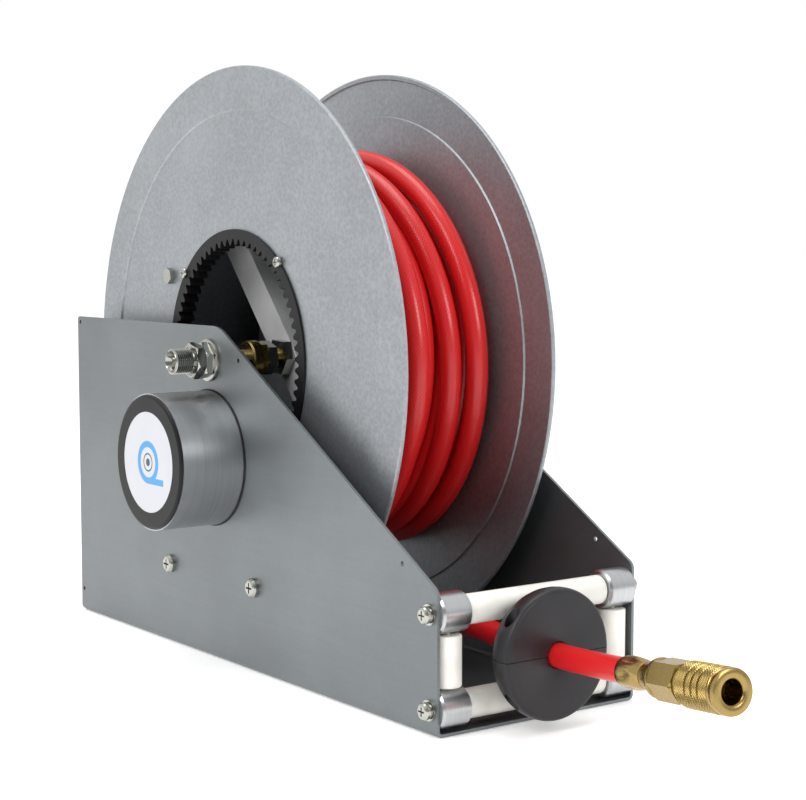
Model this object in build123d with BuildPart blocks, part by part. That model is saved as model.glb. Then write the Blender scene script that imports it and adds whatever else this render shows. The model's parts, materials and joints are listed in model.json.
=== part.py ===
from build123d import *
from math import acos, asin, atan2, cos, hypot, pi, radians, sin, sqrt, tan
import os

# Spring-rewind hose reel. Millimetres, +Z up, drum axis along X, hose leaves towards -Y.
# The origin is the centre of the base's four mounting holes, on the underside.

# ---- driving dimensions -------------------------------------------------------------
base_length = 588.0
frame_width = 197.0
sheet = 2.5
rear_height = 293.0
front_height = 110.0
crest_y = 20.0
mount_x = 140.0
mount_y = 500.0
mount_hole_r = 5.5

drum_y = 36.0
drum_z = 263.0
flange_r = 255.0
flange_sheet = 2.0
left_face = -73.0
right_face = 80.0
crease_r = 217.0
opening_r = 114.0
barrel_r = 146.0
barrel_wall = 2.0

gear_module = 3.0
ring_teeth = 68
pinion_teeth = 11
pressure_angle = 25.0
flank_relief = 0.15
ring_back = -59.0
ring_screw_r = 113.5
ring_screw_angle = 41.0
drum_bolt_r = 135.0
drum_bolt_angle = 32.0

inlet_r = 11.1
stem_r = 8.0
can_r = 59.0
can_wall = 3.0
can_face = -160.0
label_r = 43.5
brake_shaft_r = 8.5
axle_r = 12.0

roller_r = 11.5
roller_y = -284.5
roller_top_z = 91.5
roller_low_z = 19.5
collar_r = 15.5
collar_length = 27.0
cross_shaft_r = 6.0
post_r = 4.0

hose_r = 9.5
coil_r = 171.0
stop_r = 50.0
stop_length = 34.0
stop_centre_y = -314.0
hose_x = -12.6
hose_z = 58.0
tip_turn = -10.0
tip_rise = 6.0
bend_reach = 33.0
tip_gap = 18.0

running = 0.05
gap = 0.3

# ---- dimensions worked out from the ones above --------------------------------------
plate_out = frame_width / 2
plate_in = plate_out - sheet
front_y = -base_length / 2
rear_y = base_length / 2
ring_pitch_r = gear_module * ring_teeth / 2
pinion_pitch_r = gear_module * pinion_teeth / 2
brake_z = drum_z - (ring_pitch_r - pinion_pitch_r)
collar_face = plate_in - collar_length
post_x = plate_in - collar_length / 2
barrel_in = barrel_r - barrel_wall
layer_r = barrel_r + hose_r
pieces = {}


def across(x, y=drum_y, z=drum_z):
    """Plane square to the X axis, looking along +X, centred at (y, z)."""
    return Plane(origin=(x, y, z), x_dir=(0, 1, 0), z_dir=(1, 0, 0))


def turned(points, y=drum_y, z=drum_z):
    """Revolve a closed outline of (x, radius) points about the X axis at (y, z)."""
    with BuildSketch(Plane(origin=(0, y, z), x_dir=(1, 0, 0), z_dir=(0, -1, 0))) as outline:
        with BuildLine():
            Polyline(*points, close=True)
        make_face()
    revolve(outline.sketch, axis=Axis((0, y, z), (1, 0, 0)))


def sleeve(x0, x1, r_in, r_out, y=drum_y, z=drum_z):
    """Add a plain ring about the X axis at (y, z)."""
    with BuildSketch(across(x0, y, z)) as ring:
        Circle(r_out)
        if r_in > 0:
            Circle(r_in, mode=Mode.SUBTRACT)
    extrude(ring.sketch, amount=x1 - x0)


def drill(x0, x1, r, spots):
    """Cut round holes along X at the (y, z) spots."""
    with BuildSketch(across(x0, 0, 0)) as holes:
        with Locations(*spots):
            Circle(r)
    extrude(holes.sketch, amount=x1 - x0, mode=Mode.SUBTRACT)


def hexagon(x0, x1, corner_r, hole_r, turn=0, y=drum_y, z=drum_z):
    """Add a hexagon about the X axis at (y, z), with a round hole."""
    with BuildSketch(across(x0, y, z)) as outline:
        RegularPolygon(corner_r, 6, rotation=turn)
        if hole_r > 0:
            Circle(hole_r, mode=Mode.SUBTRACT)
    extrude(outline.sketch, amount=x1 - x0)


def ring_spots(radius, count, start, y=drum_y, z=drum_z):
    """(y, z) spots evenly spaced on a circle."""
    turns = [radians(start + 360 * i / count) for i in range(count)]
    return [(y + radius * cos(t), z + radius * sin(t)) for t in turns]


def involute(angle):
    return tan(angle) - angle


def half_tooth(teeth, radius, relief):
    """Half the angle of an external gear's tooth at a radius, wider by the relief."""
    pitch_r = gear_module * teeth / 2
    alpha = radians(pressure_angle)
    here = acos(min(1.0, pitch_r * cos(alpha) / radius))
    return pi / (2 * teeth) + relief / pitch_r + involute(alpha) - involute(here)


def gear_outline(teeth, r_low, r_high, relief, steps=4):
    """Closed outline of teeth that point outwards, one of them straight down."""
    radii = [r_low + (r_high - r_low) * i / steps for i in range(steps + 1)]
    points = []
    for k in range(teeth):
        middle = -pi / 2 + 2 * pi * k / teeth
        for side, order in ((-1, radii), (1, radii[::-1])):
            for r in order:
                t = middle + side * half_tooth(teeth, r, relief)
                points.append((r * cos(t), r * sin(t)))
    return points


def pan_screws(seat, way, spots, shank_r, shank, head_r, head):
    """Add cross-recess pan-head screws along X, their shanks pointing along way (+1 or -1)."""
    top = seat - way * head
    for y, z in spots:
        turned(
            [
                (top, 0),
                (top, head_r * 0.7),
                (top + way * head * 0.15, head_r * 0.88),
                (top + way * head * 0.45, head_r),
                (seat, head_r),
                (seat, shank_r),
                (seat + way * (shank - 0.8), shank_r),
                (seat + way * shank, shank_r - 0.8),
                (seat + way * shank, 0),
            ],
            y,
            z,
        )
        with BuildSketch(across(top, y, z)) as recess:
            Rectangle(head_r * 1.1, head_r * 0.2)
            Rectangle(head_r * 0.2, head_r * 1.1)
        extrude(recess.sketch, amount=way * head * 0.6, mode=Mode.SUBTRACT)


# ---- frame --------------------------------------------------------------------------
side_spots = [(drum_y - 72.5, 73.0), (drum_y + 72.5, 73.0)]
can_spots = ring_spots(46, 3, 90, drum_y, brake_z)
axle_spots = [(drum_y + a, drum_z + b) for a, b in ((-26, -26), (26, -26), (26, 17), (-26, 0))]
latch_spots = [(drum_y + 36, drum_z - 122), (drum_y + 84, drum_z - 122)]
latch_pivot = (drum_y + 60, drum_z - 100)
roller_spots = [(roller_y, roller_top_z), (roller_y, roller_low_z)]
accessory_spots = [
    (rear_y - 5.5, rear_height - 5.5),
    (rear_y - 5.5, 22.0),
    (crest_y - 33, rear_height - 28),
    (front_y + 43.5, 124.5),
]

with BuildPart() as frame_channel:
    for inset in (0, sheet):
        with BuildSketch(Plane.XZ.offset(-rear_y)) as folded:
            with Locations((0, inset + rear_height / 2)):
                Rectangle(frame_width - 2 * inset, rear_height)
            fillet(folded.vertices().group_by(Axis.Y)[0], radius=2 * sheet - inset)
        extrude(amount=base_length, mode=Mode.ADD if inset == 0 else Mode.SUBTRACT)
    with BuildSketch(Plane.YZ) as side:
        with BuildLine():
            Polyline(
                (front_y, 0),
                (rear_y, 0),
                (rear_y, rear_height),
                (crest_y, rear_height),
                (front_y, front_height),
                close=True,
            )
        make_face()
        for y, z, r in ((crest_y, rear_height, 40), (front_y, front_height, 9), (rear_y, rear_height, 3)):
            fillet(side.vertices().sort_by_distance((y, z, 0))[0], radius=r)
    extrude(amount=frame_width, both=True, mode=Mode.INTERSECT)
    with BuildSketch(Plane.XY):
        with GridLocations(mount_x, mount_y, 2, 2):
            Circle(mount_hole_r)
    extrude(amount=2 * sheet, mode=Mode.SUBTRACT)
    for x in (-plate_out - 1, plate_in - 1):
        drill(x, x + sheet + 2, 2.0, accessory_spots)
        drill(x, x + sheet + 2, 3.4, roller_spots)
        drill(x, x + sheet + 2, 4.5, side_spots)
    drill(-plate_out - 1, -plate_in + 1, inlet_r + 0.4, [(drum_y, drum_z)])
    drill(-plate_out - 1, -plate_in + 1, 18.0, [(drum_y, brake_z)])
    drill(-plate_out - 1, -plate_in + 1, 2.8, can_spots)
    drill(plate_in - 1, plate_out + 1, axle_r + 0.4, [(drum_y, drum_z)])
    drill(plate_in - 1, plate_out + 1, 4.3, axle_spots)
    drill(plate_in - 1, plate_out + 1, 2.8, latch_spots)
pieces["frame_channel"] = frame_channel

with BuildPart() as side_straps:
    for x in (-plate_in, plate_in - 2.5):
        with BuildSketch(across(x, drum_y, side_spots[0][1])):
            SlotCenterToCenter(145, 24)
        extrude(amount=2.5)
        drill(x, x + 2.5, 4.5, side_spots)
pieces["side_straps"] = side_straps

with BuildPart() as strap_screws:
    pan_screws(-plate_out, 1, side_spots, 4.0, 16, 8.2, 5.6)
    pan_screws(plate_out, -1, side_spots, 4.0, 16, 8.2, 5.6)
pieces["strap_screws"] = strap_screws

with BuildPart() as frame_nuts:
    for y, z in side_spots:
        for x in (-plate_in + 2.5, plate_in - 2.5 - 6.5):
            hexagon(x, x + 6.5, 7.5, 4.0, 10, y, z)
    for y, z in axle_spots:
        hexagon(plate_in - 6, plate_in, 7.5, 4.0, 15, y, z)
pieces["frame_nuts"] = frame_nuts

# ---- fluid inlet and swivel ---------------------------------------------------------
washer_x = -plate_out - 3.0
hex_x = washer_x - 7.5
nut_x = hex_x - 8.5
thread_x = nut_x - 15.0
nose_x = thread_x - 4.3
stem_x = -50.0

with BuildPart() as inlet_fitting:
    turned(
        [
            (nose_x + 7.0, 4.8),
            (nose_x, 8.3),
            (nose_x, 9.0),
            (thread_x - 1.5, 9.9),
            (thread_x, inlet_r),
            (nut_x, inlet_r),
            (nut_x, 13.0),
            (washer_x, 13.0),
            (washer_x, inlet_r),
            (-plate_in + 9.0, inlet_r),
            (-plate_in + 9.0, stem_r),
            (stem_x, stem_r),
            (stem_x, 4.8),
        ]
    )
    hexagon(nut_x, hex_x - 1, 16.4, 12, 40)
    hexagon(hex_x, washer_x, 16.4, 12, 12)
pieces["inlet_fitting"] = inlet_fitting

with BuildPart() as inlet_washer:
    sleeve(washer_x, -plate_out, inlet_r, 18.5)
    chamfer(inlet_washer.edges().filter_by(GeomType.CIRCLE).group_by(Axis.X)[0], length=0.6)
pieces["inlet_washer"] = inlet_washer

with BuildPart() as inlet_locknut:
    hexagon(-plate_in, -plate_in + 8, 18.5, inlet_r, 30)
pieces["inlet_locknut"] = inlet_locknut

cup_start, cup_end, hex_end, jam_end, web_x = -62.0, -52.0, -45.0, -36.0, -20.0
neck_r = 7.8
with BuildPart() as swivel_body:
    turned(
        [
            (cup_start, stem_r + running),
            (cup_start, 15.0),
            (cup_start + 1.5, 16.0),
            (cup_end, 16.0),
            (cup_end, 13.0),
            (hex_end, 13.0),
            (hex_end, neck_r),
            (-8.0, neck_r),
            (-8.0, 4.8),
            (stem_x + 2.0, 4.8),
            (stem_x + 2.0, stem_r + running),
        ]
    )
    hexagon(cup_end, hex_end, 15.6, 12, 8)
pieces["swivel_body"] = swivel_body

with BuildPart() as swivel_nuts:
    hexagon(hex_end, jam_end, 15.2, neck_r, 20)
    hexagon(web_x - 9, web_x, 17.0, neck_r, 4)
    hexagon(web_x + sheet, web_x + sheet + 7, 12.4, neck_r, 4)
pieces["swivel_nuts"] = swivel_nuts

spider_angle = 49.0
spider_width = 32.0
spider_depth = 25.0
spider = Plane(
    origin=(web_x, drum_y, drum_z),
    x_dir=(0, cos(radians(spider_angle)), sin(radians(spider_angle))),
    z_dir=(1, 0, 0),
)
with BuildPart() as spider_bracket:
    with BuildSketch(spider):
        Rectangle(2 * barrel_r, spider_width)
    extrude(amount=spider_depth)
    with BuildSketch(spider.offset(sheet)):
        Rectangle(2 * barrel_r, spider_width - 2 * sheet)
    extrude(amount=spider_depth, mode=Mode.SUBTRACT)
    with BuildSketch(across(web_x - 1)):
        Circle(barrel_in)
    extrude(amount=spider_depth + 2, mode=Mode.INTERSECT)
    drill(web_x - 1, web_x + sheet + 1, neck_r, [(drum_y, drum_z)])
pieces["spider_bracket"] = spider_bracket

elbow_x = 2.0
tail_way = (0, -cos(radians(spider_angle)), -sin(radians(spider_angle)))
tail_plane = Plane(origin=(elbow_x, drum_y, drum_z), x_dir=(1, 0, 0), z_dir=tail_way)
with BuildPart() as outlet_elbow:
    sleeve(-8.0, 12.0, 0, 11.0)
    with BuildSketch(tail_plane):
        Circle(9.0)
    extrude(amount=24)
    with BuildSketch(tail_plane.offset(8)):
        Circle(5.0)
    extrude(amount=20, mode=Mode.SUBTRACT)
pieces["outlet_elbow"] = outlet_elbow

with BuildPart() as hose_tail:
    with BuildSketch(tail_plane.offset(24)):
        Circle(hose_r)
    extrude(amount=barrel_r - 24)
pieces["hose_tail"] = hose_tail

# ---- drum ---------------------------------------------------------------------------
ring_spots_yz = ring_spots(ring_screw_r, 4, ring_screw_angle)
drum_bolt_spots = ring_spots(drum_bolt_r, 2, drum_bolt_angle)
case_spots = ring_spots(112.5, 6, 15)
hub_spots = ring_spots(25, 4, 45)
ratchet_spots = ring_spots(55, 4, 30)
step = 1.2
hem = 4.0


def flange_outline(face, way, hole_r):
    """Outline of a flange: flat disc, shallow step at the crease, thicker rolled rim."""
    return [
        (face + way * step, hole_r),
        (face + way * step, crease_r - 0.6),
        (face, crease_r + 0.6),
        (face, flange_r - 1),
        (face + way * 1, flange_r),
        (face + way * (hem - 1), flange_r),
        (face + way * hem, flange_r - 1),
        (face + way * hem, flange_r - 4),
        (face + way * flange_sheet, flange_r - 5),
        (face + way * flange_sheet, crease_r + 1.0),
        (face + way * (step + flange_sheet), crease_r - 0.2),
        (face + way * (step + flange_sheet), hole_r),
    ]


left_inner = left_face + step + flange_sheet
right_inner = right_face - step - flange_sheet
left_seat = left_face + step
right_seat = right_face - step
end_plate_x = left_inner + 3.0

with BuildPart() as left_flange:
    turned(flange_outline(left_face, 1, opening_r))
    drill(left_face - 1, left_inner + 1, 2.8, ring_spots_yz)
    drill(left_face - 1, left_inner + 1, 4.3, drum_bolt_spots)
pieces["left_flange"] = left_flange

with BuildPart() as right_flange:
    turned(flange_outline(right_face, -1, 20.0))
    drill(right_inner - 1, right_face + 1, 2.8, hub_spots)
    drill(right_inner - 1, right_face + 1, 2.8, case_spots)
    drill(right_inner - 1, right_face + 1, 2.8, ratchet_spots)
pieces["right_flange"] = right_flange

with BuildPart() as barrel:
    sleeve(left_inner, right_inner, barrel_in, barrel_r)
    with BuildSketch(tail_plane.offset(barrel_in - 20)):
        Circle(hose_r + gap)
    extrude(amount=30, mode=Mode.SUBTRACT)
pieces["barrel"] = barrel

with BuildPart() as end_plate:
    sleeve(left_inner, end_plate_x, opening_r, barrel_in)
    drill(left_inner - 1, end_plate_x + 1, 2.8, ring_spots_yz)
    drill(left_inner - 1, end_plate_x + 1, 4.3, drum_bolt_spots)
pieces["end_plate"] = end_plate

ring_tip_r = ring_pitch_r - 2.0
ring_root_r = ring_pitch_r + 3.4
ring_out_r = opening_r - running
with BuildPart() as ring_gear:
    sleeve(left_face - 0.8, end_plate_x, ring_root_r + 1, ring_out_r)
    sleeve(end_plate_x, ring_back, ring_root_r + 1, ring_out_r + 12)
    with BuildSketch(across(left_face - 0.8)):
        Circle(ring_root_r + 2)
        with BuildLine():
            Polyline(*gear_outline(ring_teeth, ring_tip_r - 1, ring_root_r, flank_relief), close=True)
        make_face(mode=Mode.SUBTRACT)
        Circle(ring_tip_r, mode=Mode.SUBTRACT)
    extrude(amount=ring_back - left_face + 0.8)
    drill(left_face - 1, ring_back + 1, 2.8, ring_spots_yz)
pieces["ring_gear"] = ring_gear

with BuildPart() as ring_screws:
    pan_screws(left_face - 0.8, 1, ring_spots_yz, 2.5, ring_back - left_face + 5.5, 4.8, 3.4)
pieces["ring_screws"] = ring_screws

with BuildPart() as drum_bolts:
    for y, z in drum_bolt_spots:
        hexagon(left_seat - 5.3, left_seat, 7.5, 0, 20, y, z)
        with BuildSketch(across(left_seat, y, z)):
            Circle(4.0)
        extrude(amount=16)
pieces["drum_bolts"] = drum_bolts

with BuildPart() as drum_nuts:
    for y, z in ring_spots_yz:
        hexagon(ring_back, ring_back + 4, 4.6, 2.5, 0, y, z)
    for y, z in drum_bolt_spots:
        hexagon(end_plate_x, end_plate_x + 6.5, 7.5, 4.0, 20, y, z)
pieces["drum_nuts"] = drum_nuts

# ---- spring motor -------------------------------------------------------------------
ratchet_thick = 8.5
case_r = 118.0
case_back = 24.0
spring_start, spring_end = case_back + 4.0, right_inner - 3.0
axle_end = plate_out + 20.0
mount_plate_x = plate_out + 6.0

with BuildPart() as spring_case:
    sleeve(case_back, case_back + 2, 16.0, case_r)
    sleeve(case_back, right_inner, case_r - 2, case_r)
    for y, z in case_spots:
        sleeve(right_inner - 12, right_inner, 2.6, 5.0, y, z)
pieces["spring_case"] = spring_case

case_bush_x = (case_back - 6, case_back + 8)
hub_x = (right_inner - 12, right_face + 7)
with BuildPart() as drum_bushes:
    sleeve(case_bush_x[0], case_bush_x[1], axle_r + running, 16.0)
    sleeve(hub_x[0], hub_x[1], axle_r + running, 16.0)
pieces["drum_bushes"] = drum_bushes

with BuildPart() as drum_hub:
    sleeve(hub_x[0] + 2, hub_x[1], 16.0, 20.0)
    sleeve(right_seat, right_seat + 4, 16.0, 32.0)
    drill(right_seat - 1, right_seat + 5, 2.8, hub_spots)
pieces["drum_hub"] = drum_hub

with BuildPart() as motor_screws:
    pan_screws(right_seat + 4, -1, hub_spots, 2.5, 8, 4.5, 2.6)
    pan_screws(right_seat + ratchet_thick, -1, ratchet_spots, 2.5, 12, 4.5, 2.6)
    pan_screws(right_seat, -1, case_spots, 2.5, 12, 4.8, 2.6)
pieces["motor_screws"] = motor_screws

spiral_turns, spiral_start, spiral_end, strip = 8, 20.0, 102.0, 1.0
with BuildPart() as power_spring:
    with BuildSketch(across(spring_start)):
        with BuildLine():
            count = 14 * spiral_turns
            sides = []
            for half in (0, strip):
                points = []
                for i in range(count + 1):
                    t = 2 * pi * spiral_turns * i / count
                    r = spiral_start + (spiral_end - spiral_start) * i / count + half
                    points.append((r * cos(t), r * sin(t)))
                sides.append(points)
            Spline(*sides[0])
            Spline(*sides[1])
            Line(sides[0][0], sides[1][0])
            Line(sides[0][-1], sides[1][-1])
        make_face()
    extrude(amount=spring_end - spring_start)
pieces["power_spring"] = power_spring

with BuildPart() as main_axle:
    turned(
        [
            (case_bush_x[0] - 4, 0),
            (case_bush_x[0] - 4, axle_r - 1),
            (case_bush_x[0] - 3, axle_r),
            (plate_out, axle_r),
            (plate_out, 22.0),
            (mount_plate_x, 22.0),
            (mount_plate_x, 10.0),
            (axle_end, 10.0),
            (axle_end, 0),
        ]
    )
    with BuildSketch(across(plate_out)):
        with Locations((0, -4.5)):
            RectangleRounded(72, 63, 8)
    extrude(amount=mount_plate_x - plate_out)
    drill(plate_out, mount_plate_x + 1, 4.3, axle_spots)
    with BuildSketch(across(axle_end - 9)):
        Circle(12)
        RegularPolygon(9.6, 4, mode=Mode.SUBTRACT)
    extrude(amount=10, mode=Mode.SUBTRACT)
pieces["main_axle"] = main_axle

with BuildPart() as axle_bolts:
    for y, z in axle_spots:
        hexagon(mount_plate_x, mount_plate_x + 5.3, 7.5, 0, 15, y, z)
        with BuildSketch(across(mount_plate_x, y, z)):
            Circle(4.0)
        extrude(amount=plate_in - 8 - mount_plate_x)
pieces["axle_bolts"] = axle_bolts

# ---- ratchet latch ------------------------------------------------------------------
ratchet_teeth = 12
ratchet_in, ratchet_root, ratchet_tip = 50.0, 60.0, 70.0
with BuildPart() as ratchet_ring:
    with BuildSketch(across(right_seat)):
        with BuildLine():
            rim = []
            for k in range(ratchet_teeth):
                t = radians(-90 + 360 * k / ratchet_teeth)
                pitch = 2 * pi / ratchet_teeth
                for r, turn in ((ratchet_root, 0.16), (ratchet_root, 0.38), (ratchet_tip, 0.98), (ratchet_tip, 1.04)):
                    rim.append((r * cos(t + turn * pitch), r * sin(t + turn * pitch)))
            Polyline(*rim, close=True)
        make_face()
        Circle(ratchet_in, mode=Mode.SUBTRACT)
    extrude(amount=ratchet_thick)
    drill(right_seat - 1, right_seat + ratchet_thick + 1, 2.8, ratchet_spots)
pieces["ratchet_ring"] = ratchet_ring

pawl_x = right_seat + 3.7
pawl_thick = 5.0
with BuildPart() as latch_pawl:
    with BuildSketch(across(pawl_x, *latch_pivot)):
        with BuildLine():
            Polyline((-4, -7), (7, -5), (6, 7), (-31, 31), (-42, 24), close=True)
        make_face()
    extrude(amount=pawl_thick)
    drill(pawl_x - 1, pawl_x + pawl_thick + 1, 4.0 + running, [latch_pivot])
pieces["latch_pawl"] = latch_pawl

with BuildPart() as latch_bracket:
    with BuildSketch(across(plate_in - sheet, drum_y + 60, drum_z - 111)):
        RectangleRounded(66, 42, 5)
    extrude(amount=sheet)
    drill(plate_in - sheet, plate_in, 2.8, latch_spots)
    sleeve(pawl_x - 0.2, plate_in - sheet, 0, 4.0, *latch_pivot)
    sleeve(pawl_x + pawl_thick + 0.5, pawl_x + pawl_thick + 2.3, 0, 7.0, *latch_pivot)
pieces["latch_bracket"] = latch_bracket

# ---- speed brake --------------------------------------------------------------------
can_back = -plate_out
cap_lip = 2.5
cap_bore_r = 17.5
base_thick = 6.0
liner_x = (-140.0, -112.0)
shoe_x = (-137.0, -115.0)
carrier_x = (-143.0, -139.0)

with BuildPart() as brake_canister:
    sleeve(can_face + cap_lip, can_back, can_r - can_wall, can_r, drum_y, brake_z)
pieces["brake_canister"] = brake_canister

with BuildPart() as brake_cap:
    turned(
        [
            (can_face, label_r),
            (can_face, can_r - 3.5),
            (can_face + 0.7, can_r - 1.6),
            (can_face + cap_lip, can_r - 0.8),
            (can_face + cap_lip, can_r - can_wall),
            (can_face + 9.0, can_r - can_wall),
            (can_face + 9.0, can_r - can_wall - 4),
            (can_face + 4.0, can_r - can_wall - 5),
            (can_face + 4.0, cap_bore_r + 4),
            (can_face + 13.0, cap_bore_r + 4),
            (can_face + 13.0, cap_bore_r),
            (can_face + 3.0, cap_bore_r),
            (can_face + 3.0, 0),
            (can_face + 0.8, 0),
            (can_face + 0.8, label_r),
        ],
        drum_y,
        brake_z,
    )
pieces["brake_cap"] = brake_cap

with BuildPart() as face_disc:
    sleeve(can_face + 0.2, can_face + 0.8, 0, label_r - 0.1, drum_y, brake_z)
pieces["face_disc"] = face_disc

with BuildPart() as brake_base:
    sleeve(can_back - base_thick, can_back, cap_bore_r, can_r - can_wall, drum_y, brake_z)
    drill(can_back - base_thick - 1, can_back + 1, 2.5, can_spots)
pieces["brake_base"] = brake_base

with BuildPart() as plate_screws:
    pan_screws(-plate_in, -1, can_spots, 2.5, sheet + base_thick, 5.0, 3.2)
    pan_screws(plate_out, -1, latch_spots, 2.5, 12, 5.0, 3.2)
pieces["plate_screws"] = plate_screws

with BuildPart() as shaft_bearings:
    middle = (brake_shaft_r + cap_bore_r) / 2
    for x0, x1 in ((can_face + 3.0, can_face + 13.0), (can_back - base_thick, -plate_in)):
        sleeve(x0, x1, brake_shaft_r + running, cap_bore_r, drum_y, brake_z)
        for x in (x0, x1 - 1):
            with BuildSketch(across(x, drum_y, brake_z)):
                Circle(middle + 2)
                Circle(middle - 2, mode=Mode.SUBTRACT)
            extrude(amount=1, mode=Mode.SUBTRACT)
pieces["shaft_bearings"] = shaft_bearings

with BuildPart() as brake_liner:
    sleeve(liner_x[0], liner_x[1], 51.0, can_r - can_wall, drum_y, brake_z)
pieces["brake_liner"] = brake_liner

pinion_x = (left_face - 1.5, ring_back + 1.0)
with BuildPart() as brake_shaft:
    sleeve(can_face + 4.0, pinion_x[1] + 6, 0, brake_shaft_r, drum_y, brake_z)
    chamfer(brake_shaft.edges().filter_by(GeomType.CIRCLE), length=0.8)
pieces["brake_shaft"] = brake_shaft

with BuildPart() as brake_pinion:
    with BuildSketch(across(pinion_x[0], drum_y, brake_z)):
        with BuildLine():
            Polyline(
                *gear_outline(pinion_teeth, pinion_pitch_r - 3.6, pinion_pitch_r + 2.5, -flank_relief),
                close=True,
            )
        make_face()
        Circle(brake_shaft_r, mode=Mode.SUBTRACT)
    extrude(amount=pinion_x[1] - pinion_x[0])
    sleeve(pinion_x[0] - 8, pinion_x[0], brake_shaft_r, 12.5, drum_y, brake_z)
pieces["brake_pinion"] = brake_pinion

pin_r = 3.0
pin_ring_r = 34.0
shoe_pins = ring_spots(pin_ring_r, 3, 90, drum_y, brake_z)
with BuildPart() as shoe_carrier:
    sleeve(carrier_x[0], carrier_x[1], brake_shaft_r, 44.0, drum_y, brake_z)
    sleeve(carrier_x[1], carrier_x[1] + 20, brake_shaft_r, 14.0, drum_y, brake_z)
    for y, z in shoe_pins:
        sleeve(carrier_x[1], shoe_x[1] + 1.5, 0, pin_r, y, z)
pieces["shoe_carrier"] = shoe_carrier

shoe_in, shoe_out = 22.0, 49.5
for n, start in enumerate((90, 210, 330)):
    with BuildPart() as shoe:
        with BuildSketch(across(shoe_x[0], drum_y, brake_z)):
            Circle(shoe_out)
            Circle(shoe_in, mode=Mode.SUBTRACT)
            with BuildLine():
                a, b = radians(start - 14), radians(start + 92)
                m = (a + b) / 2
                reach = 2.2 * shoe_out
                Polyline(
                    (0, 0),
                    (reach * cos(a), reach * sin(a)),
                    (reach * cos(m), reach * sin(m)),
                    (reach * cos(b), reach * sin(b)),
                    close=True,
                )
            make_face(mode=Mode.INTERSECT)
        extrude(amount=shoe_x[1] - shoe_x[0])
        drill(shoe_x[0] - 1, shoe_x[1] + 1, pin_r + running, [shoe_pins[n]])
    pieces[f"brake_shoe_{n + 1}"] = shoe

# ---- hose guide ---------------------------------------------------------------------
roller_ends = collar_face - 0.5
guide_rows = {"top": roller_top_z, "bottom": roller_low_z}
hands = {"left": -1, "right": 1}


def outer_rims(radius):
    """Circular edges of that radius in the part being built."""
    return edges().filter_by(GeomType.CIRCLE).filter_by(lambda e: abs(e.radius - radius) < 0.01)


with BuildPart() as cross_shafts:
    for z in guide_rows.values():
        sleeve(-plate_in, plate_in, 0, cross_shaft_r, roller_y, z)
        for x in (-plate_in, plate_in - 14):
            drill(x, x + 14, 3.0, [(roller_y, z)])
pieces["cross_shafts"] = cross_shafts

for place, z in guide_rows.items():
    with BuildPart() as roller:
        sleeve(-roller_ends, roller_ends, cross_shaft_r + running, roller_r, roller_y, z)
        fillet(outer_rims(roller_r), radius=1.0)
    pieces[place + "_roller"] = roller

with BuildPart() as corner_collars:
    for place, z in guide_rows.items():
        for sign in hands.values():
            sleeve(*sorted((sign * collar_face, sign * plate_in)), cross_shaft_r, collar_r, roller_y, z)
    chamfer(outer_rims(collar_r), length=1.6)
    for sign in hands.values():
        with BuildSketch(Plane.XY.offset(roller_low_z)):
            with Locations((sign * post_x, roller_y)):
                Circle(post_r)
        extrude(amount=roller_top_z - roller_low_z, mode=Mode.SUBTRACT)
pieces["corner_collars"] = corner_collars

post_low, post_high = roller_low_z + cross_shaft_r + 0.2, roller_top_z - cross_shaft_r - 0.2
side_low, side_high = roller_low_z + collar_r + 0.6, roller_top_z - collar_r - 0.9
with BuildPart() as guide_posts:
    with BuildSketch(Plane.XY.offset(post_low)):
        with Locations(*[(sign * post_x, roller_y) for sign in hands.values()]):
            Circle(post_r)
    extrude(amount=post_high - post_low)
pieces["guide_posts"] = guide_posts

for hand, sign in hands.items():
    with BuildPart() as side_roller:
        with BuildSketch(Plane.XY.offset(side_low)):
            with Locations((sign * post_x, roller_y)):
                Circle(roller_r)
                Circle(post_r + running, mode=Mode.SUBTRACT)
        extrude(amount=side_high - side_low)
        fillet(outer_rims(roller_r), radius=1.5)
    pieces[hand + "_side_roller"] = side_roller

washer = 3.2
with BuildPart() as guide_screws:
    pan_screws(-plate_out - washer, 1, roller_spots, 3.0, 15, 6.6, 4.4)
    pan_screws(plate_out + washer, -1, roller_spots, 3.0, 15, 6.6, 4.4)
pieces["guide_screws"] = guide_screws

with BuildPart() as guide_washers:
    for x, thin in ((-plate_out, -1), (plate_out, 1)):
        for y, z in roller_spots:
            sleeve(*sorted((x, x + thin * 1.6)), 3.0, 8.0, y, z)
            sleeve(*sorted((x + thin * 1.6, x + thin * washer)), 3.0, 5.6, y, z)
pieces["guide_washers"] = guide_washers

# ---- hose ---------------------------------------------------------------------------
coil_top_r = coil_r + hose_r + 0.5
coil_high_r = 187.0
coil_step_x = -34.0
coil_high_x = 28.0
with BuildPart() as hose_coil:
    turned(
        [
            (left_inner + gap, barrel_r + gap),
            (right_inner - gap, barrel_r + gap),
            (right_inner - gap, coil_high_r),
            (coil_high_x, coil_high_r),
            (coil_high_x, coil_top_r),
            (coil_step_x, coil_top_r),
            (coil_step_x, layer_r + hose_r),
            (left_inner + gap, layer_r + hose_r),
        ]
    )
pieces["hose_coil"] = hose_coil

# the straight lead touches the underside of the outer turn
guide_y, guide_z = -250.0, 60.0
reach = hypot(drum_y - guide_y, drum_z - guide_z)
slope = atan2(drum_z - guide_z, drum_y - guide_y) - asin(coil_r / reach)
lead = sqrt(reach**2 - coil_r**2)
touch_y, touch_z = guide_y + lead * cos(slope), guide_z + lead * sin(slope)
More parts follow.
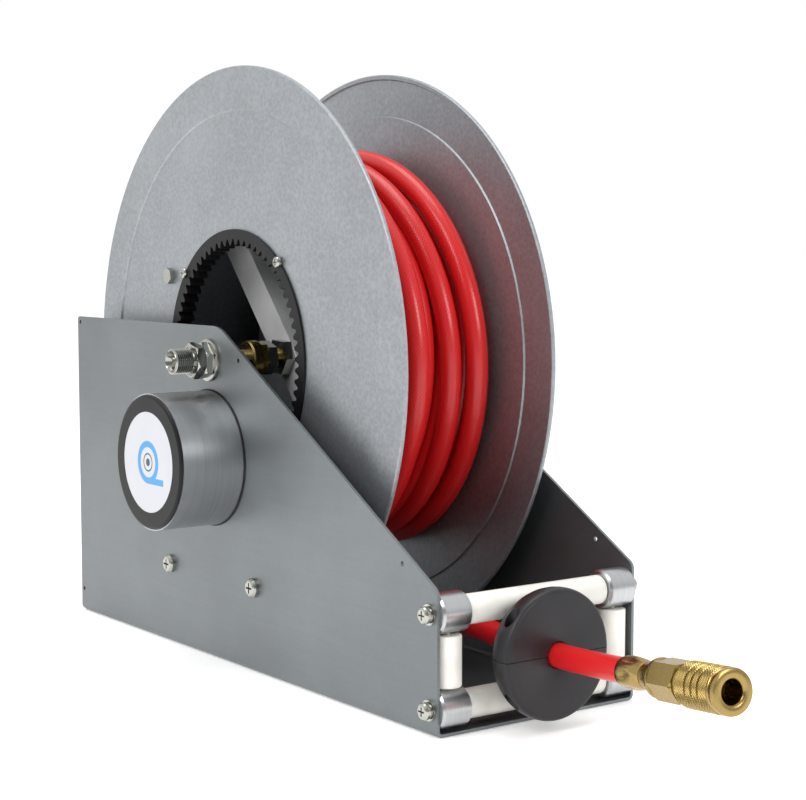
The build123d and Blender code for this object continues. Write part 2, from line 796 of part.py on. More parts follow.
# past the stop the hose bends a little to the left and up, and the coupler follows it
out_way = Vector(0, -1, 0)
turn, rise = radians(tip_turn), radians(tip_rise)
tip_way = Vector(sin(turn) * cos(rise), -cos(turn) * cos(rise), sin(rise))
stop_centre = Vector(hose_x, stop_centre_y, hose_z)
hose_bend = stop_centre + out_way * (stop_length / 2 + bend_reach)
tip_start = hose_bend + tip_way * (bend_reach + tip_gap)
route = [
    Vector(-24.0, touch_y, touch_z),
    Vector(-15.0, -112.0, 73.6),
    Vector(-11.5, guide_y, guide_z + 0.5),
    stop_centre,
    hose_bend,
    tip_start + tip_way * 18,
]
runs = [(b - a) for a, b in zip(route, route[1:])]
turns = [a.get_angle(b) for a, b in zip(runs, runs[1:])]
bends = [
    0.45 * min(a.length, b.length) / tan(radians(t) / 2) for a, b, t in zip(runs, runs[1:], turns)
]
print("lead runs", [round(r.length, 1) for r in runs])
print("lead turns", [round(t, 1) for t in turns])
print("lead bend radii", [round(b) for b in bends])

with BuildPart() as hose_lead:
    with BuildLine() as lead_path:
        FilletPolyline(*route, radius=bends)
    with BuildSketch(Plane(origin=route[0], z_dir=runs[0])):
        Circle(hose_r)
    sweep(path=lead_path.wires()[0])
    whole = hose_lead.part.volume
    sleeve_cut = coil_top_r + 0.5
    with BuildSketch(across(-60)):
        Circle(sleeve_cut)
    extrude(amount=120, mode=Mode.SUBTRACT)
print("lead volume", round(whole), "section x length", round(pi * hose_r**2 * lead_path.wires()[0].length))
print("lead length", round(lead_path.wires()[0].length, 1))
pieces["hose_lead"] = hose_lead


def square_to(start, way, distance):
    """Plane square to a straight bit of the hose, that far past its start."""
    return Plane(origin=start + way * distance, x_dir=Vector(0, 0, 1).cross(way), z_dir=way)


def about(start, way, points):
    """Revolve a closed outline of (distance past the start, radius) points."""
    with BuildSketch(Plane(origin=start, x_dir=way, z_dir=way.cross(Vector(0, 0, 1)))) as outline:
        with BuildLine():
            Polyline(*points, close=True)
        make_face()
    revolve(outline.sketch, axis=Axis(start, way))


half = stop_length / 2
split = 0.4
clamp_spots = [stop_centre + Vector(x, -8, 0) for x in (-38, 38)]
for place, side in (("upper", 1), ("lower", -1)):
    with BuildPart() as stop_half:
        about(
            stop_centre,
            out_way,
            [
                (-half, 0),
                (-half, 33.0),
                (-half + 6, 40.8),
                (-half + 14, 47.0),
                (-half + 22, 50.1),
                (half - 6, stop_r),
                (half - 1.5, stop_r - 0.8),
                (half, stop_r - 2.3),
                (half, 0),
            ],
        )
        add(hose_lead.part, mode=Mode.SUBTRACT)
        with BuildSketch(square_to(stop_centre, out_way, -half - 1)):
            with Locations((0, side * (stop_r + split / 2))):
                Rectangle(3 * stop_r, 2 * stop_r)
        extrude(amount=stop_length + 2, mode=Mode.INTERSECT)
        for foot in clamp_spots:
            with BuildSketch(Plane(origin=foot, z_dir=(0, 0, 1))):
                Circle(3.2)
            extrude(amount=side * 60, mode=Mode.SUBTRACT)
            with BuildSketch(Plane(origin=foot + Vector(0, 0, side * 14), z_dir=(0, 0, 1))):
                Circle(5.6)
            extrude(amount=side * 60, mode=Mode.SUBTRACT)
    pieces[place + "_stop_half"] = stop_half

with BuildPart() as stop_screws:
    for foot in clamp_spots:
        for z, r, tall in ((-18.0, 3.0, 32.0), (14.0, 5.0, 5.0), (-19.0, 5.3, 5.0)):
            with BuildSketch(Plane(origin=foot + Vector(0, 0, z), z_dir=(0, 0, 1))):
                if z == -19.0:
                    RegularPolygon(r, 6)
                else:
                    Circle(r)
            extrude(amount=tall)
pieces["stop_screws"] = stop_screws

# ---- crimped ferrule and quick coupler, by distance from the ferrule's rear end -----
neck_x = 28.0
hex_start = 46.0
knurl_start = 74.0
sleeve_start = 79.0
ring_start = 118.5
coupler_end = 125.0
socket_r = 8.5

with BuildPart() as ferrule:
    about(
        tip_start,
        tip_way,
        [
            (0, hose_r + 0.02),
            (0, 10.8),
            (3, 11.6),
            (neck_x - 6, 11.9),
            (neck_x, 9.6),
            (neck_x, 7.0),
            (18, 7.0),
            (18, hose_r + 0.02),
        ],
    )
pieces["ferrule"] = ferrule

with BuildPart() as coupler_body:
    about(
        tip_start,
        tip_way,
        [
            (18, 4.5),
            (18, 7.0),
            (neck_x, 7.0),
            (neck_x, 9.5),
            (neck_x + 6, 9.5),
            (hex_start - 5, 13.0),
            (coupler_end - 5, 13.0),
            (coupler_end - 5, 15.0),
            (coupler_end - 4, 16.0),
            (coupler_end - 1, 16.0),
            (coupler_end, 15.0),
            (coupler_end, socket_r + 1.0),
            (coupler_end - 1, socket_r),
            (coupler_end - 24, socket_r),
            (coupler_end - 24, 7.0),
            (coupler_end - 36, 7.0),
            (coupler_end - 36, 4.5),
        ],
    )
    with BuildSketch(square_to(tip_start, tip_way, hex_start)):
        RegularPolygon(15.6, 6, rotation=12)
        Circle(11, mode=Mode.SUBTRACT)
    extrude(amount=knurl_start - hex_start)
pieces["coupler_body"] = coupler_body

with BuildPart() as coupler_sleeve:
    about(
        tip_start,
        tip_way,
        [
            (sleeve_start, 13.0 + running),
            (sleeve_start, 15.0),
            (sleeve_start + 1, 16.0),
            (ring_start - 1, 16.0),
            (ring_start, 15.0),
            (ring_start, 13.0 + running),
        ],
    )
    for x in (13, 20, 27):
        with BuildSketch(square_to(tip_start, tip_way, sleeve_start + x)):
            Circle(18)
            Circle(15.0, mode=Mode.SUBTRACT)
        extrude(amount=1.8, mode=Mode.SUBTRACT)
pieces["coupler_sleeve"] = coupler_sleeve

os.makedirs("parts", exist_ok=True)
for name, piece in pieces.items():
    piece.part.label = name
    export_step(piece.part, f"parts/{name}.step")
print(len(pieces), "pieces")
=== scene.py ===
import json
import math

import bpy
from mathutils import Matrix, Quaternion, Vector


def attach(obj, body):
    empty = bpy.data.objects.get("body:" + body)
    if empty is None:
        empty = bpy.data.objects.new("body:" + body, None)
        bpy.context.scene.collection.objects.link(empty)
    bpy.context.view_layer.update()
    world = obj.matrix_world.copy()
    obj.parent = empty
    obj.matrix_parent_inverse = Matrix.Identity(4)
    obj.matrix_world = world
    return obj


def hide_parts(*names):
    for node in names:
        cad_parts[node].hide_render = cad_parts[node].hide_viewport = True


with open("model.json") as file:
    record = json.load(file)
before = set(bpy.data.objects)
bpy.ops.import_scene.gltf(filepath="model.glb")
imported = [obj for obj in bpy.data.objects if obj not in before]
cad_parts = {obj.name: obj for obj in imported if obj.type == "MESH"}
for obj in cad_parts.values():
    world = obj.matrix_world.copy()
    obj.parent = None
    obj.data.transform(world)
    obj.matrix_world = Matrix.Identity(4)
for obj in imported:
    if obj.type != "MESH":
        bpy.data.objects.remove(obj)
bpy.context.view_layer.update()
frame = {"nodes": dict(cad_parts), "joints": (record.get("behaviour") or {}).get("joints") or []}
nodes = frame["nodes"]
mm = 0.001
bpy.ops.object.select_all(action="DESELECT")

# drum axis and speed-brake axis, taken from the frame
jointPlace = {joint["name"]: joint.get("pos_m") for joint in frame["joints"]}
drumY, drumZ = jointPlace["drum_spin"][1:]
brakeY, brakeZ = jointPlace["brake_spin"][1:]
print("frame loaded:", len(nodes), "nodes")

# camera and studio

studio = {
    "cameraPlace": (-0.884, -1.330, 0.3637),
    "azimuth": -35.99,
    "elevation": 4.95,
    "lens": 80.29,
    "shift": 0.0028,
    "floorColour": (0.90, 0.90, 0.90),
    "floorGlow": 0.30,
    "skyColour": (1.0, 1.0, 1.0),
    "roomColour": (0.30, 0.31, 0.32),  # what stands behind the camera
    "skyWay": (0.45, 0.86, 0.25),  # towards the bright side
    "skyEdge": (0.15, 0.52),
    "worldStrength": 1.0,
}


def makeCamera():
    camera = bpy.data.cameras.new("studioCamera")
    camera.lens = studio["lens"]
    camera.sensor_width = 36
    camera.shift_x = studio["shift"]
    camera.clip_start = 0.01
    camera.clip_end = 50
    eye = bpy.data.objects.new("studioCamera", camera)
    bpy.context.scene.collection.objects.link(eye)
    around, up = math.radians(studio["azimuth"]), math.radians(studio["elevation"])
    back = Vector((math.sin(around) * math.cos(up), -math.cos(around) * math.cos(up), math.sin(up)))
    eye.location = studio["cameraPlace"]
    eye.rotation_mode = "QUATERNION"
    eye.rotation_quaternion = (-back).to_track_quat("-Z", "Y")
    bpy.context.scene.camera = eye


def addLight(name, place, target, size, power):
    lamp = bpy.data.lights.new(name, "AREA")
    lamp.shape = "RECTANGLE"
    lamp.size, lamp.size_y = size
    lamp.energy = power
    holder = bpy.data.objects.new(name, lamp)
    bpy.context.scene.collection.objects.link(holder)
    holder.location = place
    aim = Vector(target) - Vector(place)
    holder.rotation_mode = "QUATERNION"
    holder.rotation_quaternion = aim.to_track_quat("-Z", "Y")


makeCamera()
bpy.context.scene.view_settings.view_transform = "Standard"
world = bpy.data.worlds.new("studioWorld")
world.use_nodes = True
worldNodes, worldLinks = world.node_tree.nodes, world.node_tree.links
sky = worldNodes["Background"]
sky.inputs["Strength"].default_value = studio["worldStrength"]
# white behind the reel, darker behind the camera, so that the bright metal has something to show
skyWay = worldNodes.new("ShaderNodeTexCoord")
skyDot = worldNodes.new("ShaderNodeVectorMath")
skyDot.operation = "DOT_PRODUCT"
skyDot.inputs[1].default_value = studio["skyWay"]
skyRamp = worldNodes.new("ShaderNodeValToRGB")
shades = (studio["roomColour"], studio["skyColour"])
for element, edge, shade in zip(skyRamp.color_ramp.elements, studio["skyEdge"], shades):
    element.position = edge
    element.color = (*shade, 1)
skyShift = worldNodes.new("ShaderNodeMapRange")
skyShift.inputs["From Min"].default_value = -1
worldLinks.new(skyWay.outputs["Generated"], skyDot.inputs[0])
worldLinks.new(skyDot.outputs["Value"], skyShift.inputs["Value"])
worldLinks.new(skyShift.outputs["Result"], skyRamp.inputs["Fac"])
worldLinks.new(skyRamp.outputs["Color"], sky.inputs["Color"])
bpy.context.scene.world = world
addLight("keyLight", (-2.1, -0.5, 1.9), (0, 0, 0.25), (1.3, 1.3), 30)
addLight("frontLight", (0.3, -2.6, 1.3), (0, 0, 0.2), (0.9, 0.9), 24)
addLight("topLight", (0.1, 0.2, 2.4), (0, 0, 0.2), (1.4, 1.4), 18)
print("camera and lights ready")


# hose: the winding on the drum, then the lead to the coupler

hose = {
    "radius": 9.5 * mm,
    "pointsPerTurn": 16,
    "guideY": -0.250,
    "guideZ": 0.060,
    "coilRadius": 0.171,
    # turns from the rear of the drum, place along the axis and radius, in mm
    "stations": (
        (-0.24, -24.0, 171.0),
        (0.25, -8.0, 174.0),
        (0.5, -1.0, 175.5),
        (0.75, -2.0, 174.0),
        (1.0, 8.0, 172.0),
        (1.25, 21.0, 172.5),
        (1.5, 38.0, 168.0),
        (1.75, 48.5, 162.0),
        (2.0, 51.0, 170.0),
        (2.25, 49.0, 177.0),
        (2.5, 59.0, 178.0),
        (2.63, 65.5, 172.0),
        (2.78, 66.8, 163.0),
        (2.95, 67.2, 156.0),
        (3.3, 67.2, 155.6),
        (9.0, -59.5, 155.6),
    ),
    "coilLength": 9.35,
    "leadLength": 0.489,
    "stopCentre": (-12.6 * mm, -0.314, 0.058),
    "tipTurn": math.radians(-10),
    "tipRise": math.radians(6),
    "stopHalf": 17 * mm,
    "bendReach": 33 * mm,
    "tipGap": 18 * mm,
    "gripDepth": 18 * mm,
}

guideReach = math.hypot(drumY - hose["guideY"], drumZ - hose["guideZ"])
guideSlope = math.atan2(drumZ - hose["guideZ"], drumY - hose["guideY"])
guideSlope -= math.asin(hose["coilRadius"] / guideReach)
straightRun = math.sqrt(guideReach**2 - hose["coilRadius"] ** 2)
touchPoint = Vector(
    (
        -24.0 * mm,
        hose["guideY"] + straightRun * math.cos(guideSlope),
        hose["guideZ"] + straightRun * math.sin(guideSlope),
    )
)
touchTurn = math.atan2(touchPoint.z - drumZ, touchPoint.y - drumY) / (2 * math.pi)
stopCentre = Vector(hose["stopCentre"])
outWay = Vector((0, -1, 0))
tipWay = Vector(
    (
        math.sin(hose["tipTurn"]) * math.cos(hose["tipRise"]),
        -math.cos(hose["tipTurn"]) * math.cos(hose["tipRise"]),
        math.sin(hose["tipRise"]),
    )
)
hoseBend = stopCentre + outWay * (hose["stopHalf"] + hose["bendReach"])
tipStart = hoseBend + tipWay * (hose["bendReach"] + hose["tipGap"])


def coilStation(turns):
    # place along the axis and radius at that many turns from the rear, straight between the stations
    stations = hose["stations"]
    if turns <= stations[0][0]:
        return stations[0][1] * mm, stations[0][2] * mm
    for (t0, x0, r0), (t1, x1, r1) in zip(stations, stations[1:]):
        if turns <= t1:
            share = (turns - t0) / (t1 - t0)
            return (x0 + (x1 - x0) * share) * mm, (r0 + (r1 - r0) * share) * mm
    return stations[-1][1] * mm, stations[-1][2] * mm


def coilPoint(turns, outwards=1.0):
    x, r = coilStation(turns)
    angle = 2 * math.pi * turns
    return Vector((x, drumY + r * outwards * math.cos(angle), drumZ + r * outwards * math.sin(angle)))


def coilPoints():
    step = 1 / hose["pointsPerTurn"]
    outwards = 1 / math.cos(math.pi * step)
    last = hose["stations"][-1][0]
    points = [touchPoint]
    turns = touchTurn + step / 2
    while turns < last:
        points.append(coilPoint(turns, outwards))
        turns += step
    return points + [coilPoint(turns - step / 2)]


def makeHose(name, points, smoothness):
    line = bpy.data.curves.new(name, "CURVE")
    line.dimensions = "3D"
    run = line.splines.new("NURBS")
    run.points.add(len(points) - 1)
    for spot, place in zip(run.points, points):
        spot.co = (*place, 1)
        spot.radius = hose["radius"]  # the tube's size sits on its points, so its box is right too
    run.order_u = 3
    run.use_endpoint_u = True
    run.resolution_u = smoothness
    line.resolution_u = smoothness
    line.bevel_depth = 1
    line.bevel_resolution = 8
    line.use_fill_caps = True
    piece = bpy.data.objects.new(name, line)
    bpy.context.scene.collection.objects.link(piece)
    return piece


hoseCoil = makeHose("hoseCoil", coilPoints(), 6)
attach(hoseCoil, "drum")
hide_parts("hose_coil")

leadPoints = [
    touchPoint,
    Vector((-15.0 * mm, -0.112, 0.0736)),
    Vector((-11.5 * mm, hose["guideY"], hose["guideZ"] + 0.5 * mm)),
    stopCentre,
    hoseBend,
    tipStart + tipWay * hose["gripDepth"],
]
hoseLead = makeHose("hoseLead", leadPoints, 16)
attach(hoseLead, "frame")
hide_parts("hose_lead")
print("hose made:", len(coilPoints()), "points in the winding")


# ways of shaping that several pieces share


def choose(piece):
    bpy.ops.object.select_all(action="DESELECT")
    piece.select_set(True)
    bpy.context.view_layer.objects.active = piece


def pick(piece, test, part="VERT"):
    # selects the corners, edges or faces that pass a test, and stays in edit mode
    choose(piece)
    bpy.ops.object.mode_set(mode="EDIT")
    bpy.ops.mesh.select_mode(type=part)
    bpy.ops.mesh.select_all(action="DESELECT")
    bpy.ops.object.mode_set(mode="OBJECT")
    group = {"VERT": piece.data.vertices, "EDGE": piece.data.edges, "FACE": piece.data.polygons}[part]
    for item in group:
        item.select = test(item)
    bpy.ops.object.mode_set(mode="EDIT")


def turnedPiece(name, base, way, outline, sides=64):
    # a ring is added at the first (distance, radius), then extruded and resized along the outline
    at, radius = outline[0]
    facing = way.to_track_quat("Z", "X").to_euler()
    bpy.ops.mesh.primitive_circle_add(
        vertices=sides, radius=radius * mm, location=base + way * at * mm, rotation=facing
    )
    piece = bpy.context.object
    piece.name = piece.data.name = name
    bpy.ops.object.transform_apply(location=True, rotation=True, scale=True)
    bpy.ops.object.mode_set(mode="EDIT")
    bpy.ops.mesh.select_mode(type="VERT")
    bpy.ops.mesh.select_all(action="SELECT")
    for nextAt, nextRadius in outline[1:]:
        bpy.ops.mesh.extrude_region_move(TRANSFORM_OT_translate={"value": way * (nextAt - at) * mm})
        share = nextRadius / radius
        bpy.ops.transform.resize(value=(share, share, share), center_override=base + way * nextAt * mm)
        at, radius = nextAt, nextRadius
    bpy.ops.mesh.select_all(action="SELECT")
    bpy.ops.mesh.remove_doubles(threshold=0.00001)
    bpy.ops.mesh.normals_make_consistent(inside=False)
    bpy.ops.object.mode_set(mode="OBJECT")
    return piece


def cutWith(piece, cutter, operation="DIFFERENCE"):
    choose(piece)
    tool = piece.modifiers.new("cut", "BOOLEAN")
    tool.operation = operation
    tool.solver = "EXACT"
    tool.object = cutter
    bpy.ops.object.modifier_apply(modifier=tool.name)
    bpy.data.objects.remove(cutter)


hexShape = {"chamferRadius": 0.87, "clearRadius": 1.02, "slope": 0.7, "overrun": 0.01, "core": 0.001}


def hexBar(name, base, way, start, end, corner, turn):
    # a hexagon whose corners are turned off at both ends
    facing = Quaternion(way, math.radians(turn)) @ way.to_track_quat("Z", "X")
    middle = base + way * (start + end) / 2 * mm
    bpy.ops.mesh.primitive_cylinder_add(
        vertices=6,
        radius=corner * mm,
        depth=(end - start) * mm,
        location=middle,
        rotation=facing.to_euler(),
    )
    piece = bpy.context.object
    piece.name = piece.data.name = name
    bpy.ops.object.transform_apply(location=True, rotation=True, scale=True)
    flat = corner * hexShape["chamferRadius"]
    clear = corner * hexShape["clearRadius"]
    run = (clear - flat) * hexShape["slope"]
    first, last = start - hexShape["overrun"], end + hexShape["overrun"]
    skin = [
        (first, hexShape["core"]),
        (first, flat),
        (start + run, clear),
        (end - run, clear),
        (last, flat),
        (last, hexShape["core"]),
    ]
    cutWith(piece, turnedPiece("cornerCutter", base, way, skin, 96), "INTERSECT")
    return piece


def finished(name, pieces, angle=32):
    # joins the pieces and smooths every edge that is softer than the angle
    choose(pieces[0])
    for piece in pieces:
        piece.select_set(True)
    if len(pieces) > 1:
        bpy.ops.object.join()
    piece = bpy.context.object
    piece.name = piece.data.name = name
    bpy.ops.object.shade_smooth_by_angle(angle=math.radians(angle))
    return piece


# hose stop: two clamped halves with a domed back

stop = {
    "outline": (
        (-17, 9.7),
        (-17, 32.0),
        (-16.4, 34.0),
        (-14, 37.6),
        (-11, 40.8),
        (-7, 44.2),
        (-3, 47.0),
        (1, 48.9),
        (5, 50.0),
        (8, 50.4),
        (11, 50.5),
        (13.5, 50.3),
        (15.2, 49.8),
        (16.3, 49.0),
        (16.9, 48.0),
        (17, 46.8),
        (17, 11.4),
        (16.4, 10.2),
        (15, 9.7),
        (-17, 9.7),
    ),
    "partingGap": 0.5,
    "clampPlaces": (-38, 38),
    "clampAhead": 8,
    "pocket": ((14, 0.001), (14, 5.6), (70, 5.6), (70, 0.001)),
    "bore": ((-2, 0.001), (-2, 3.2), (30, 3.2), (30, 0.001)),
}


def stopHalf(name, side):
    piece = turnedPiece(name, stopCentre, outWay, stop["outline"], 128)
    pick(piece, lambda corner: True)
    bpy.ops.mesh.bisect(
        plane_co=stopCentre + Vector((0, 0, side * stop["partingGap"] / 2 * mm)),
        plane_no=(0, 0, side),
        use_fill=True,
        clear_inner=True,
    )
    bpy.ops.object.mode_set(mode="OBJECT")
    for x in stop["clampPlaces"]:
        foot = stopCentre + Vector((x * mm, -stop["clampAhead"] * mm, 0))
        cutWith(piece, turnedPiece("pocketCutter", foot, Vector((0, 0, side)), stop["pocket"], 40))
        cutWith(piece, turnedPiece("boreCutter", foot, Vector((0, 0, side)), stop["bore"], 24))
    return finished(name, [piece], 28)


upperStop = stopHalf("upperStopHalf", 1)
lowerStop = stopHalf("lowerStopHalf", -1)
for half, node in ((upperStop, "upper_stop_half"), (lowerStop, "lower_stop_half")):
    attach(half, "frame")
    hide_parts(node)
print("hose stop shaped")

# crimped ferrule

crimp = {
    "outline": (
        (0, 9.6),
        (0, 10.6),
        (0.8, 11.2),
        (3, 11.7),
        (6, 12.0),
        (9, 12.1),
        (12, 12.1),
        (15, 12.0),
        (18, 11.7),
        (21, 11.2),
        (24, 10.4),
        (27, 9.9),
        (28, 9.6),
        (28, 7.05),
        (18, 7.05),
        (18, 9.6),
        (0, 9.6),
    ),
    "jaws": 6,
    "sides": 84,
    "dents": ((3, 0.97), (6, 0.92), (9, 0.87), (12, 0.85), (15, 0.87), (18, 0.92), (21, 0.97)),
    "presses": ((0.2, 0.3), (0.4, 0.3), (0.6, 0.25), (0.8, 0.15)),
    "ringReach": 0.1,
    "skinRadius": 10.5,
}
ferrule = turnedPiece("crimpedFerrule", tipStart, tipWay, crimp["outline"], crimp["sides"])
sideWay = Vector((0, 0, 1)).cross(tipWay).normalized()
riseWay = tipWay.cross(sideWay).normalized()


def crimpTurn(place):
    # 0 in the middle of a jaw, and 1 half way to the next
    arm = place - tipStart
    around = math.atan2(arm.dot(riseWay), arm.dot(sideWay)) / (2 * math.pi) * crimp["jaws"]
    return abs(around - round(around)) * 2


for at, share in crimp["dents"]:
    centre = tipStart + tipWay * at * mm
    for reach, part in crimp["presses"]:
        pressed = 1 - (1 - share) * part
        pick(
            ferrule,
            lambda corner: abs((corner.co - centre).dot(tipWay)) < crimp["ringReach"] * mm
            and (corner.co - centre).length > crimp["skinRadius"] * mm
            and crimpTurn(corner.co) < reach,
        )
        bpy.ops.transform.resize(value=(pressed, pressed, pressed), center_override=centre)
        bpy.ops.object.mode_set(mode="OBJECT")
ferrule = finished("crimpedFerrule", [ferrule], 40)
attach(ferrule, "frame")
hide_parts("ferrule")
print("ferrule crimped")

# quick coupler: body with a hexagon, and a knurled sleeve

coupler = {
    "bodyOutline": (
        (18, 4.5),
        (18, 7.0),
        (28, 7.0),
        (28, 8.9),
        (28.6, 9.5),
        (34, 9.5),
        (36, 10.1),
        (39, 12.0),
        (40.5, 13.2),
        (43, 14.4),
        (45.2, 14.4),
        (45.8, 13.6),
        (46, 12.6),
        (74.5, 12.6),
        (75, 12.95),
        (120, 12.95),
        (120, 14.8),
        (120.6, 15.7),
        (121.2, 16.0),
        (123.6, 16.0),
        (124.6, 15.6),
        (125, 14.9),
        (125, 9.9),
        (124.6, 9.2),
        (123.6, 8.5),
        (104, 8.5),
        (103, 7.6),
        (101, 7.0),
        (89, 7.0),
        (89, 4.5),
        (18, 4.5),
    ),
    "hexagon": (46, 74, 15.6, 4),  # start, end, corner radius and turn
    "knurlZones": ((81, 91.8), (93.6, 99), (100.8, 106.2), (108, 117)),
    "knurlPitch": 1.8,
    "knurlHeight": 0.65,
    "sleeveSides": 56,
    "sleeveRadius": 15.75,
    "sleeveStart": [(79, 13.1), (79, 14.6), (79.6, 15.3), (80.4, 15.75)],
    "sleeveGroove": ((0.3, 14.9), (0.6, 14.6), (1.2, 14.6), (1.5, 14.9)),
    "sleeveEnd": [(117.6, 15.7), (118.1, 15.4), (118.5, 14.6), (118.5, 13.1), (79, 13.1)],
    "skinDepth": 0.1,
    "edgeMargin": 0.05,
}
couplerBody = turnedPiece("couplerBody", tipStart, tipWay, coupler["bodyOutline"], 96)
couplerHex = hexBar("couplerHex", tipStart, tipWay, *coupler["hexagon"])
couplerBody = finished("couplerBody", [couplerBody, couplerHex], 30)
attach(couplerBody, "frame")
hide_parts("coupler_body")

sleeveOutline = list(coupler["sleeveStart"])
for start, end in coupler["knurlZones"]:
    if start > coupler["knurlZones"][0][0]:
        sleeveOutline += [(lastEnd + past, radius) for past, radius in coupler["sleeveGroove"]]
    rows = round((end - start) / coupler["knurlPitch"])
    for row in range(rows + 1):
        sleeveOutline.append((start + (end - start) * row / rows, coupler["sleeveRadius"]))
    lastEnd = end
sleeveOutline += coupler["sleeveEnd"]
couplerSleeve = turnedPiece("couplerSleeve", tipStart, tipWay, sleeveOutline, coupler["sleeveSides"])


def inKnurl(place, margin=0.0):
    arm = place - tipStart
    at = arm.dot(tipWay) / mm
    far = (arm - tipWay * arm.dot(tipWay)).length / mm
    return far > coupler["sleeveRadius"] - coupler["skinDepth"] and any(
        start + margin < at < end - margin for start, end in coupler["knurlZones"]
    )


# the square grid is poked flat, its own edges are dissolved to leave diamonds, and those are poked up
pick(couplerSleeve, lambda face: inKnurl(face.center), "FACE")
bpy.ops.object.mode_set(mode="OBJECT")
gridCorners = len(couplerSleeve.data.vertices)
bpy.ops.object.mode_set(mode="EDIT")
bpy.ops.mesh.poke(offset=0)
bpy.ops.object.mode_set(mode="OBJECT")
spots = couplerSleeve.data.vertices
pick(
    couplerSleeve,
    lambda edge: max(edge.vertices) < gridCorners
    and inKnurl((spots[edge.vertices[0]].co + spots[edge.vertices[1]].co) / 2, coupler["edgeMargin"]),
    "EDGE",
)
bpy.ops.mesh.dissolve_edges(use_verts=False)
bpy.ops.object.mode_set(mode="OBJECT")
pick(couplerSleeve, lambda face: inKnurl(face.center), "FACE")
bpy.ops.mesh.poke(offset=coupler["knurlHeight"] * mm)
bpy.ops.object.mode_set(mode="OBJECT")
couplerSleeve = finished("couplerSleeve", [couplerSleeve], 22)
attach(couplerSleeve, "coupler_sleeve")
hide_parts("coupler_sleeve")
print("coupler knurled:", len(couplerSleeve.data.polygons), "faces in the sleeve")

# inlet fitting: threaded end with a coned seat, a nut and a washer

inlet = {
    "threadStart": -136.1,
    "threadEnd": -118.6,
    "threadPitch": 1.9,
    "crest": 11.1,
    "root": 9.9,
    "flanks": (0, 0.6, 0.9, 1.5),
    "nose": ((-128.4, 4.8), (-136.6, 9.1), (-136.8, 9.3), (-136.6, 9.7), (-136.3, 9.9)),
    "back": (
        (-118.3, 9.6),
        (-117.5, 9.6),
        (-117.5, 13.0),
        (-101.5, 13.0),
        (-101.5, 11.1),
        (-87.0, 11.1),
        (-87.0, 8.0),
        (-50.0, 8.0),
        (-50.0, 4.8),
        (-128.4, 4.8),
    ),
    "nuts": ((-117.5, -110.0, 16.4, 16), (-109.2, -101.5, 16.4, 40)),
    "washer": (
        (-101.5, 13.2),
        (-101.5, 17.6),
        (-101.1, 18.3),
        (-99.0, 18.5),
        (-98.5, 18.2),
        (-98.5, 11.3),
        (-101.5, 13.2),
    ),
}
drumBase = Vector((0, drumY, drumZ))
xWay = Vector((1, 0, 0))
threadTurns = int((inlet["threadEnd"] - inlet["threadStart"]) / inlet["threadPitch"])
inletOutline = list(inlet["nose"])
for turn in range(threadTurns):
    at = inlet["threadStart"] + turn * inlet["threadPitch"]
    for past, level in zip(inlet["flanks"], ("root", "crest", "crest", "root")):
        inletOutline.append((at + past, inlet[level]))
inletOutline += list(inlet["back"])
inletParts = [turnedPiece("inletFitting", drumBase, xWay, inletOutline, 72)]
inletParts += [hexBar("inletNut", drumBase, xWay, *nut) for nut in inlet["nuts"]]
inletFitting = finished("inletFitting", inletParts, 30)
inletWasher = turnedPiece("inletWasher", drumBase, xWay, inlet["washer"], 72)
inletWasher = finished("inletWasher", [inletWasher], 35)
for piece, node in ((inletFitting, "inlet_fitting"), (inletWasher, "inlet_washer")):
    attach(piece, "frame")
    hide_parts(node)
print("inlet fitting threaded")

# dark bead where the brake housing meets the side plate

bead = {
    "outline": ((-99.9, 58.6), (-99.9, 59.5), (-99.4, 60.0), (-98.5, 60.2), (-98.5, 58.6), (-99.9, 58.6)),
}
brakeBase = Vector((0, brakeY, brakeZ))
housingBead = turnedPiece("housingBead", brakeBase, xWay, bead["outline"], 96)
housingBead = finished("housingBead", [housingBead], 40)
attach(housingBead, "frame")

# finishes


class Link:
    # one value in a finish; arithmetic on it adds Math nodes
    def __init__(self, finish, socket):
        self.finish = finish
        self.socket = socket

    def maths(self, operation, first, second):
        return self.finish.node("ShaderNodeMath", {"operation": operation}, {0: first, 1: second})

    def __add__(self, other):
        return self.maths("ADD", self, other)

    def __radd__(self, other):
        return self.maths("ADD", other, self)

    def __sub__(self, other):
        return self.maths("SUBTRACT", self, other)

    def __rsub__(self, other):
        return self.maths("SUBTRACT", other, self)

    def __mul__(self, other):
        return self.maths("MULTIPLY", self, other)

    def __rmul__(self, other):
        return self.maths("MULTIPLY", other, self)

    def __truediv__(self, other):
        return self.maths("DIVIDE", self, other)

    def __pow__(self, other):
        return self.maths("POWER", self, other)


